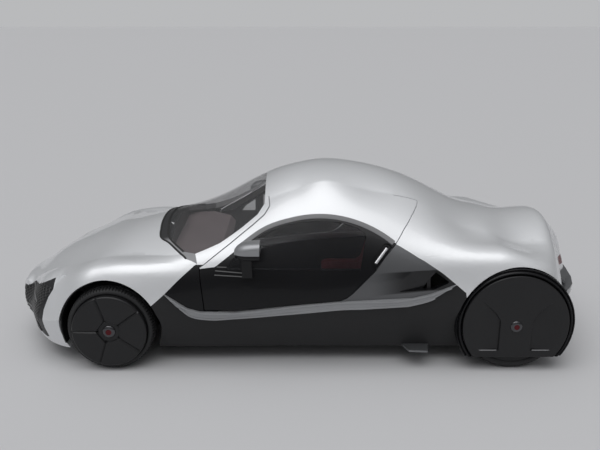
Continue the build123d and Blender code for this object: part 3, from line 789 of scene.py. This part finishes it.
def makeSeat(side):
    # thickness = a crowned pad times rounded ends, raised at the bolsters, sunk along channels and two seams
    settings, sign = seatSettings, sideSign(side)
    low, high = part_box("seats")
    middle = sign * (high.y - settings["half"] - settings["inset"])
    path, run = smoothPath(settings["path"], settings["rows"])
    along = np.gradient(path, axis=0)
    along /= np.hypot(*along.T)[:, None]
    up = np.stack([-along[:, 1], along[:, 0]], -1)[:, None, :]
    v, u = np.linspace(-1, 1, settings["columns"])[None, :], (run / run[-1])[:, None]
    reach = np.abs(v)
    rounded = np.clip(1 - np.abs(2 * u - 1) ** settings["endPower"], 0, 1) ** 0.5
    rounded = rounded * np.clip(1 - reach ** settings["edgePower"], 0, 1) ** 0.5
    level, swing = settings["bolsterLevel"]
    bolster = np.exp(-((reach - settings["bolsterAt"]) / settings["bolsterWide"]) ** 2)
    bolster = bolster * (level + swing * np.cos(2 * math.pi * (u - settings["bolsterTop"])))
    seam = np.exp(-((reach - settings["seamAt"]) / settings["seamWide"]) ** 2)
    wave = np.abs(np.sin(math.pi * run[:, None] / settings["pitch"])) ** settings["wavePower"]
    sewn = settings["seamDeeper"] * seam + (1 - wave) * (reach < settings["seamAt"] - settings["seamClear"])
    flat, crown, bend = settings["crown"]
    height = settings["thick"] * (flat + crown * np.cos(v * bend)) + settings["bolster"] * bolster
    height = (height - settings["channel"] * sewn) * rounded
    wide = settings["half"] * (1 - settings["waist"] * np.cos(2 * math.pi * u) ** 2)
    wide = wide * (1 - settings["neck"] * smoothStep(settings["neckFrom"], 1.0, u))
    base = path[:, None, :] - settings["baseShare"] * settings["thick"] * up
    under = base - (settings["underShare"] * settings["thick"] * rounded)[..., None] * up
    loop = wrapped(base + height[..., None] * up, under, middle + v * wide, shared=1)
    grids = [gridQuads(closedEnds(loop), closeColumns=True)]
    leather, sharp = finishes["seat_leather"], settings["sharpDegrees"]
    pad = surfacePiece(f"seat_pad_{side}", grids, leather, "chassis", sharp)
    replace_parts(pad, "seats")
    drop = settings["bucketDrop"] * (1 - settings["bucketRise"] * reach**3) + 0 * u
    inner, outer = (base - depth[..., None] * up for depth in (drop - settings["bucketWall"], drop))
    shell = wrapped(inner, outer, middle + v * (wide + settings["bucketWider"]))
    front, rear = settings["foot"]
    footX = np.array([front, front, rear, rear])
    footZ = np.array([low.z, settings["footTop"], settings["footTop"], low.z])
    sides = [middle - settings["footHalf"], middle + settings["footHalf"]]
    foot = np.stack([np.stack([footX, np.full(4, y), footZ], -1) for y in sides])
    grids = [gridQuads(closedEnds(shell), closeColumns=True), gridQuads(closedEnds(foot), closeColumns=True)]
    bucket = surfacePiece(f"seat_bucket_{side}", grids, finishes["cabin_trim"], "chassis")
    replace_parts(bucket, "seats")


for seatSide in ("left", "right"):
    makeSeat(seatSide)
print("seats made")


barSettings = {"squareness": 0.6}


def sweptBar(path, width, thick, outward, corners=10):
    # a squared circle of half width and half thickness carried along a path; its ends close to a point
    along = np.gradient(path, axis=0)
    along /= np.linalg.norm(along, axis=1)[:, None]
    outward = np.broadcast_to(np.asarray(outward, float), path.shape)
    outward = outward - along * (outward * along).sum(1)[:, None]
    outward /= np.linalg.norm(outward, axis=1)[:, None]
    beside = np.cross(along, outward)
    turn = np.linspace(0, 2 * math.pi, corners, endpoint=False)
    power = barSettings["squareness"]
    across = np.sign(np.cos(turn)) * np.abs(np.cos(turn)) ** power * width / 2
    rise = np.sign(np.sin(turn)) * np.abs(np.sin(turn)) ** power * thick / 2
    section = across[None, :, None] * beside[:, None, :] + rise[None, :, None] * outward[:, None, :]
    ring = path[:, None, :] + section
    ends = [np.repeat(path[row][None, None, :], corners, 1) for row in (0, -1)]
    return gridQuads(np.concatenate([ends[0], ring, ends[1]]), closeColumns=True)


def surfaceTree(nodeName):
    # the shown skin of a node, for laying bars on it
    data = shown[nodeName].data
    points, ends = meshArrays(data)
    return BVHTree.FromPolygons(points.tolist(), [list(face.vertices) for face in data.polygons])


def layOn(tree, starts, direction):
    # where rays from the starts meet the skin, with the normals there; misses drop out
    hits = [tree.ray_cast(Vector(start), Vector(direction)) for start in starts]
    kept = np.array([(*hit[0], *hit[1]) for hit in hits if hit[0] is not None]).reshape(-1, 6)
    return kept[:, :3], kept[:, 3:]


# where rays start beside, above and ahead of the car; a bar needs more than the fewest points
raySettings = {"beside": 1.2, "above": 1.6, "ahead": -2.6, "fewest": 3}


def throwInwards(tree, line, sign):
    # a line of (x, z) pairs thrown on to the skin from beside the car
    beside = np.full(len(line), sign * raySettings["beside"])
    return layOn(tree, np.stack([line[:, 0], beside, line[:, 1]], -1), (0, -sign, 0))


handMade = {row for piece in bpy.data.objects for row in piece.get("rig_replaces", [])}
shown = {nodeName: showNode(nodeName) for nodeName in sorted(frame["nodes"]) if nodeName not in handMade}
print("panels shown:", len(shown))


# grille: a diamond lattice of fine bars on the sunk nose panel, a slanted and a level bar above three vanes.
# Lines are (y, z); bars are (width, thickness).
grilleSettings = {
    "pitch": 0.030, "bar": (0.0050, 0.0060), "thickBar": (0.024, 0.016), "vane": (0.010, 0.014),
    "proud": 0.002, "steps": 26,
    "lattice": ((0.10, 0.66), (0.300, 0.560)), "slanted": ((0.300, 0.470), (0.600, 0.440)), "level": 0.292,
    "vanes": (0.262, 0.238, 0.214), "reach": (0.10, 0.60), "deepest": 0.5,
}


def barsOnNose(tree, lines, size, settings, sign):
    # each line is thrown backwards on to the nose and becomes a bar, a little proud but inside the CAD box
    grids, proud = [], settings["proud"]
    for line in lines:
        ahead = np.full(len(line), raySettings["ahead"])
        points, normals = layOn(tree, np.stack([ahead, sign * line[:, 0], line[:, 1]], -1), (1, 0, 0))
        normals = np.where(normals[:, :1] > 0, -normals, normals)
        points[:, 0] = np.maximum(points[:, 0], cadBox[0][0] + size[1] / 2 + 2 * proud)
        if len(points) > raySettings["fewest"] and np.ptp(points[:, 0]) < settings["deepest"]:
            grids.append(sweptBar(points + proud * normals, *size, normals))
    return grids


def makeGrille(side):
    # straight lines in both diagonals at an even pitch, cut to the lattice's width
    settings, sign = grilleSettings, sideSign(side)
    tree = surfaceTree("grille")
    (near, far), (low, high) = settings["lattice"]
    step = np.linspace(0, 1, settings["steps"])[:, None]
    rise = high - low
    lines = []
    for start in np.arange(near - rise, far, settings["pitch"]):
        for foot, slope in ((low, rise), (high, -rise)):
            line = np.array([(start, foot)]) + step * np.array([(rise, slope)])
            lines.append(line[(line[:, 0] > near) & (line[:, 0] < far)])
    lines = [line for line in lines if len(line) > raySettings["fewest"]]
    slanted = np.array(settings["slanted"])
    first, last = settings["reach"]
    level = [np.concatenate([first + step * (last - first), height + 0 * step], 1)
             for height in (settings["level"], *settings["vanes"])]
    thick = [slanted[0] + step * (slanted[1] - slanted[0]), level[0]]
    grids = barsOnNose(tree, lines, settings["bar"], settings, sign)
    grids += barsOnNose(tree, thick, settings["thickBar"], settings, sign)
    grids += barsOnNose(tree, level[1:], settings["vane"], settings, sign)
    surfacePiece(f"grille_lattice_{side}", grids, finishes["lattice_dark"], "chassis")


# door handle: a sunk stadium tray with a silver pull bar lying in it
handleSettings = {"bar": 0.020, "thick": 0.014, "share": 0.80, "proud": 0.004, "steps": 24, "corners": 16}


def makeHandle(side):
    # the bar follows the tray's longest direction, found from its points
    settings, node = handleSettings, f"door_handle_{side}"
    points, ends = meshArrays(shown[node].data)
    middle = (points.max(0) + points.min(0)) / 2
    axes = np.linalg.svd(points - points.mean(0), full_matrices=False)[2]
    reach = np.abs((points - middle) @ axes[0]).max() * settings["share"]
    outward = axes[2] * (1 if axes[2][1] * sideSign(side) > 0 else -1)
    top = ((points - middle) @ outward).max() - settings["thick"] / 2 + settings["proud"]
    path = middle + outward * top + np.linspace(-reach, reach, settings["steps"])[:, None] * axes[0]
    grid = sweptBar(path, settings["bar"], settings["thick"], outward, settings["corners"])
    surfacePiece(f"door_pull_{side}", [grid], finishes["cap_silver"], nodeBodies[node])
    shown[node].data.materials[0] = finishes["black_gloss"]


# door mirror: the housing's grey cap, cut from the same copy above a level parting line
mirrorSettings = {"cap": 0.10, "parting": 0.22, "gap": 0.0006}


def makeMirrorCap(side):
    # keeps the faces above the parting height, lifted by the gap along their normals but inside the CAD box
    settings, node = mirrorSettings, f"door_mirror_{side}"
    data = shown[node].data.copy()
    data.name = f"mirror_cap_{side}"
    points, ends = meshArrays(data)
    top = points[:, 2].max()
    line = top - settings["cap"] + settings["parting"] * settings["cap"]
    work = bmesh.new()
    work.from_mesh(data)
    whole = [*work.verts, *work.edges, *work.faces]
    bmesh.ops.bisect_plane(work, geom=whole, plane_co=(0, 0, line), plane_no=(0, 0, 1), clear_inner=True)
    work.to_mesh(data)
    work.free()
    points, ends = meshArrays(data)
    normals = np.empty(len(data.vertices) * 3)
    data.vertices.foreach_get("normal", normals)
    points = points + settings["gap"] * normals.reshape(-1, 3)
    points[:, 1] = np.clip(points[:, 1], cadBox[0][1], cadBox[1][1])
    data.vertices.foreach_set("co", points.ravel())
    data.update()
    data.materials.clear()
    data.materials.append(finishes["strip_silver"])
    piece = bpy.data.objects.new(f"mirror_cap_{side}", data)
    scene.collection.objects.link(piece)
    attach(piece, nodeBodies[node])


# door gasket: a flat grey seal along the arch where the silver band meets the dark panel, mirror to handle
gasketSettings = {
    "width": 0.036, "thick": 0.007, "proud": 0.002, "inside": 0.97, "seat": 0.988, "arc": (12.0, 162.0),
    "degree": 7, "perEdge": 12, "sectors": 60, "steps": 110, "corners": 12,
}


def makeGasket(side):
    # the panel outline as radius over angle about the middle of the glass's foot, smoothed by a polynomial;
    # the seal lies on the panel just inside that line and is carried out to it along the panel's own slope
    settings, sign, node = gasketSettings, sideSign(side), f"door_panel_{side}"
    points, ends = meshArrays(shown[node].data)
    share = np.linspace(0, 1, settings["perEdge"])[None, :, None]
    outline = (points[ends[:, :1]] * (1 - share) + points[ends[:, 1:]] * share).reshape(-1, 3)
    low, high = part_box(f"door_glass_{side}")
    centre = np.array([(low.x + high.x) / 2, low.z])
    away = outline[:, [0, 2]] - centre
    limits = np.radians(np.linspace(*settings["arc"], settings["sectors"]))
    farthest = np.zeros(len(limits) + 1)
    np.maximum.at(farthest, np.digitize(np.arctan2(away[:, 1], away[:, 0]), limits), np.hypot(*away.T))
    between = (limits[1:] + limits[:-1]) / 2
    curve = np.polynomial.Polynomial.fit(between, farthest[1:-1], settings["degree"])
    turn = np.radians(np.linspace(*settings["arc"], settings["steps"]))
    ray = np.stack([np.cos(turn), np.sin(turn)], -1)
    line = centre + settings["inside"] * curve(turn)[:, None] * ray
    points, normals = throwInwards(surfaceTree(node), line, sign)
    normals = normals * np.where(normals[:, 1:2] * sign > 0, 1, -1)
    step = (points[:, [0, 2]] - centre) * (settings["seat"] / settings["inside"] - 1)
    rise = -(normals[:, [0, 2]] * step).sum(1) / normals[:, 1]
    path = points + np.stack([step[:, 0], rise, step[:, 1]], -1) + settings["proud"] * normals
    grid = sweptBar(path, settings["width"], settings["thick"], normals, settings["corners"])
    surfacePiece(f"door_gasket_{side}", [grid], finishes["gasket_grey"], nodeBodies[node])


# sill beads: the rolled upper and lower edges of the sill strip, along its two side lines of (x, z)
beadSettings = {
    "top": ((-0.852, 0.544), (-0.752, 0.475), (-0.664, 0.447), (-0.422, 0.441), (0.023, 0.497),
            (0.279, 0.521), (0.802, 0.550), (0.923, 0.581), (1.080, 0.646)),
    "low": ((-0.800, 0.475), (-0.711, 0.405), (-0.599, 0.382), (-0.423, 0.392), (0.023, 0.441),
            (0.279, 0.466), (0.802, 0.500), (0.925, 0.538), (1.060, 0.622)),
    "bead": (0.014, 0.012), "inside": 0.006, "steps": 140, "outside": 0.4,
}


def makeSillBeads(side):
    # each line is smoothed, moved a little towards the strip's middle and thrown inwards on to the strip
    settings, sign = beadSettings, sideSign(side)
    tree = surfaceTree("sill_strips")
    grids = []
    for edge, lift in (("top", -settings["inside"]), ("low", settings["inside"])):
        line, run = smoothPath(np.array(settings[edge]), settings["steps"])
        points, normals = throwInwards(tree, line + (0, lift), sign)
        points = points[points[:, 1] * sign > settings["outside"]]
        grids.append(sweptBar(points, *settings["bead"], (0, sign, 0)))
    surfacePiece(f"sill_beads_{side}", grids, finishes["strip_silver"], "chassis")


# screen seals: rubber beads along the windscreen's foot and the cowl's front edge, half lines of (x, y)
sealSettings = {
    "foot": ((-0.780, 0.612), (-0.850, 0.520), (-0.910, 0.420), (-0.945, 0.250), (-0.960, 0.0)),
    "front": ((-0.768, 0.679), (-0.854, 0.570), (-0.918, 0.481), (-0.986, 0.400), (-1.012, 0.250),
              (-1.022, 0.0)),
    "shift": {"foot": -0.006, "front": 0.007}, "bead": (0.014, 0.008), "steps": 160,
}


def makeScreenSeals():
    # each half line is mirrored, smoothed, shifted on to the cowl and thrown down on it
    settings = sealSettings
    tree = surfaceTree("cowl")
    grids = []
    for edge, shift in settings["shift"].items():
        half = np.array(settings[edge])
        line, run = smoothPath(np.concatenate([half, half[-2::-1] * (1, -1)]), settings["steps"])
        above = np.full(len(line), raySettings["above"])
        points, normals = layOn(tree, np.stack([line[:, 0] + shift, line[:, 1], above], -1), (0, 0, -1))
        normals = np.where(normals[:, 2:] < 0, -normals, normals)
        grids.append(sweptBar(points, *settings["bead"], normals))
    surfacePiece("screen_seals", grids, finishes["pad_rubber"], "chassis")


# louvres below the mirror: three slim blades laid on the door panel, each from one (x, z) to another
louvreSettings = {
    "lines": np.array([
        ((-0.545, 0.752), (-0.330, 0.747)), ((-0.555, 0.728), (-0.335, 0.713)),
        ((-0.560, 0.700), (-0.345, 0.690)),
    ]),
    "bar": (0.0075, 0.007), "proud": 0.001, "steps": 20,
}


def makeLouvres(side):
    # each straight line is thrown inwards on to the door panel
    settings, sign, node = louvreSettings, sideSign(side), f"door_panel_{side}"
    tree = surfaceTree(node)
    step = np.linspace(0, 1, settings["steps"])[:, None]
    outward = np.array([0, sign, 0.0])
    grids = []
    for first, last in settings["lines"]:
        points, normals = throwInwards(tree, first + step * (last - first), sign)
        if len(points) > raySettings["fewest"]:
            grids.append(sweptBar(points + settings["proud"] * outward, *settings["bar"], outward))
    surfacePiece(f"door_louvres_{side}", grids, finishes["steel"], nodeBodies[node])


# pocket highlight bars: lighter alloy bars at the foot of each pocket in the rear wheel covers, a painted
# highlight for the bright ledge there
pocketHighlightSettings = {
    "from": 0.124, "to": 0.250, "drop": 0.184, "width": 0.0075, "thick": 0.006, "depth": 0.008, "steps": 20,
}


def makePocketHighlightBars(side):
    # two level bars at the same distance before and behind the axle
    settings, sign = pocketHighlightSettings, sideSign(side)
    centreX, centreZ = wheelPlace(f"rear_tyre_{side}")[:2]
    low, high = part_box("rear_wheel_covers")
    x = np.linspace(settings["from"], settings["to"], settings["steps"])
    y, z = sign * (high.y - settings["depth"]), centreZ - settings["drop"]
    grids = []
    for turn in (-1, 1):
        path = np.stack([centreX + turn * x, np.full(len(x), y), np.full(len(x), z)], -1)
        grids.append(sweptBar(path, settings["width"], settings["thick"], (0, sign, 0)))
    surfacePiece(f"pocket_highlight_bars_{side}", grids, finishes["alloy"], "chassis")


for bodySide in ("left", "right"):
    makeGrille(bodySide)
    makeHandle(bodySide)
    makePocketHighlightBars(bodySide)
    makeMirrorCap(bodySide)
    makeLouvres(bodySide)
    makeGasket(bodySide)
    makeSillBeads(bodySide)
makeScreenSeals()
# the quarter panels take the painted-shade finish: grey for shaded silver, black in the intake
shown["quarter_panels"].data.materials[0] = finishes["quarter_grey"]
shown["cowl"].data.materials[0] = finishes["cowl_trim"]
shown["windscreen"].data.materials[0] = finishes["screen_glass"]
# the sill strip takes the darkened silver, painted shade on a strip that faces down
shown["sill_strips"].data.materials[0] = finishes["strip_silver"]
# the winglets, silver fins, take grey paint as painted shade; the tail blades take the same grey
for greyNode in ("winglets", "tail_blades"):
    shown[greyNode].data.materials[0] = finishes["grey_paint"]
print("grille, door trim, sills and seals made")


# plain pale floor, and a soft studio dome that is brightest high on the camera's side
floorSettings = {"reach": 60.0, "colour": (0.60, 0.60, 0.61), "roughness": 0.75}
domeSettings = {
    "colour": (0.97, 0.98, 1.0), "horizon": 0.12, "crown": 1.05, "towards": (-0.10, -0.26, 0.96),
    "shown": 0.50,
}
skySettings = {"power": 1.0, "spread": 60.0, "from": (-0.15, -0.32, 1.0)}


def makeFloor(settings):
    # one flat square at z = 0
    corners = np.array([(-1, -1, 0), (1, -1, 0), (1, 1, 0), (-1, 1, 0)], float) * settings["reach"]
    mesh = bpy.data.meshes.new("studioFloor")
    mesh.from_pydata(corners.tolist(), [], [(0, 1, 2, 3)])
    floor = bpy.data.objects.new("studioFloor", mesh)
    scene.collection.objects.link(floor)
    sockets = {"Roughness": settings["roughness"], "Base Color": rgb(*settings["colour"])}
    mesh.materials.append(newFinish("floorPaper", sockets)[0])


def lookAngles(direction):
    # tilt from straight down and turn about Z that point a lamp along a direction
    flat = math.hypot(direction[0], direction[1])
    return (math.atan2(flat, -direction[2]), 0, math.atan2(direction[1], direction[0]) - math.pi / 2)


def makeSky(settings):
    # one wide soft sun from above
    data = bpy.data.lights.new("skyLamp", "SUN")
    data.energy = settings["power"]
    data.angle = math.radians(settings["spread"])
    sky = bpy.data.objects.new("skyLamp", data)
    sky.rotation_euler = lookAngles(-np.array(settings["from"]))
    scene.collection.objects.link(sky)


def makeWorld(settings):
    # strength = horizon + crown times the cube of the cosine to the brightest direction; camera rays see
    # a plain grey, and every other ray sees the dome
    world = bpy.data.worlds.new("studioWorld")
    world.use_nodes = True
    tree = world.node_tree
    shade = tree.nodes["Background"]
    shade.inputs["Color"].default_value = rgb(*settings["colour"])
    place = Wire(tree, tree.nodes.new("ShaderNodeTexCoord").outputs["Generated"])
    towards = np.array(settings["towards"]) / np.linalg.norm(settings["towards"])
    dot = {"operation": "DOT_PRODUCT"}
    cosine = place.node("ShaderNodeVectorMath", dot, {0: place, 1: tuple(towards)}, 1)
    lit = place.maths("MAXIMUM", cosine, 0.0)
    dome = lit * lit * lit * settings["crown"] + settings["horizon"]
    ray = Wire(tree, tree.nodes.new("ShaderNodeLightPath").outputs["Is Camera Ray"])
    (dome * (1 - ray) + ray * settings["shown"]).into(shade, "Strength")
    scene.world = world


makeFloor(floorSettings)
makeWorld(domeSettings)
makeSky(skySettings)
print("studio made")
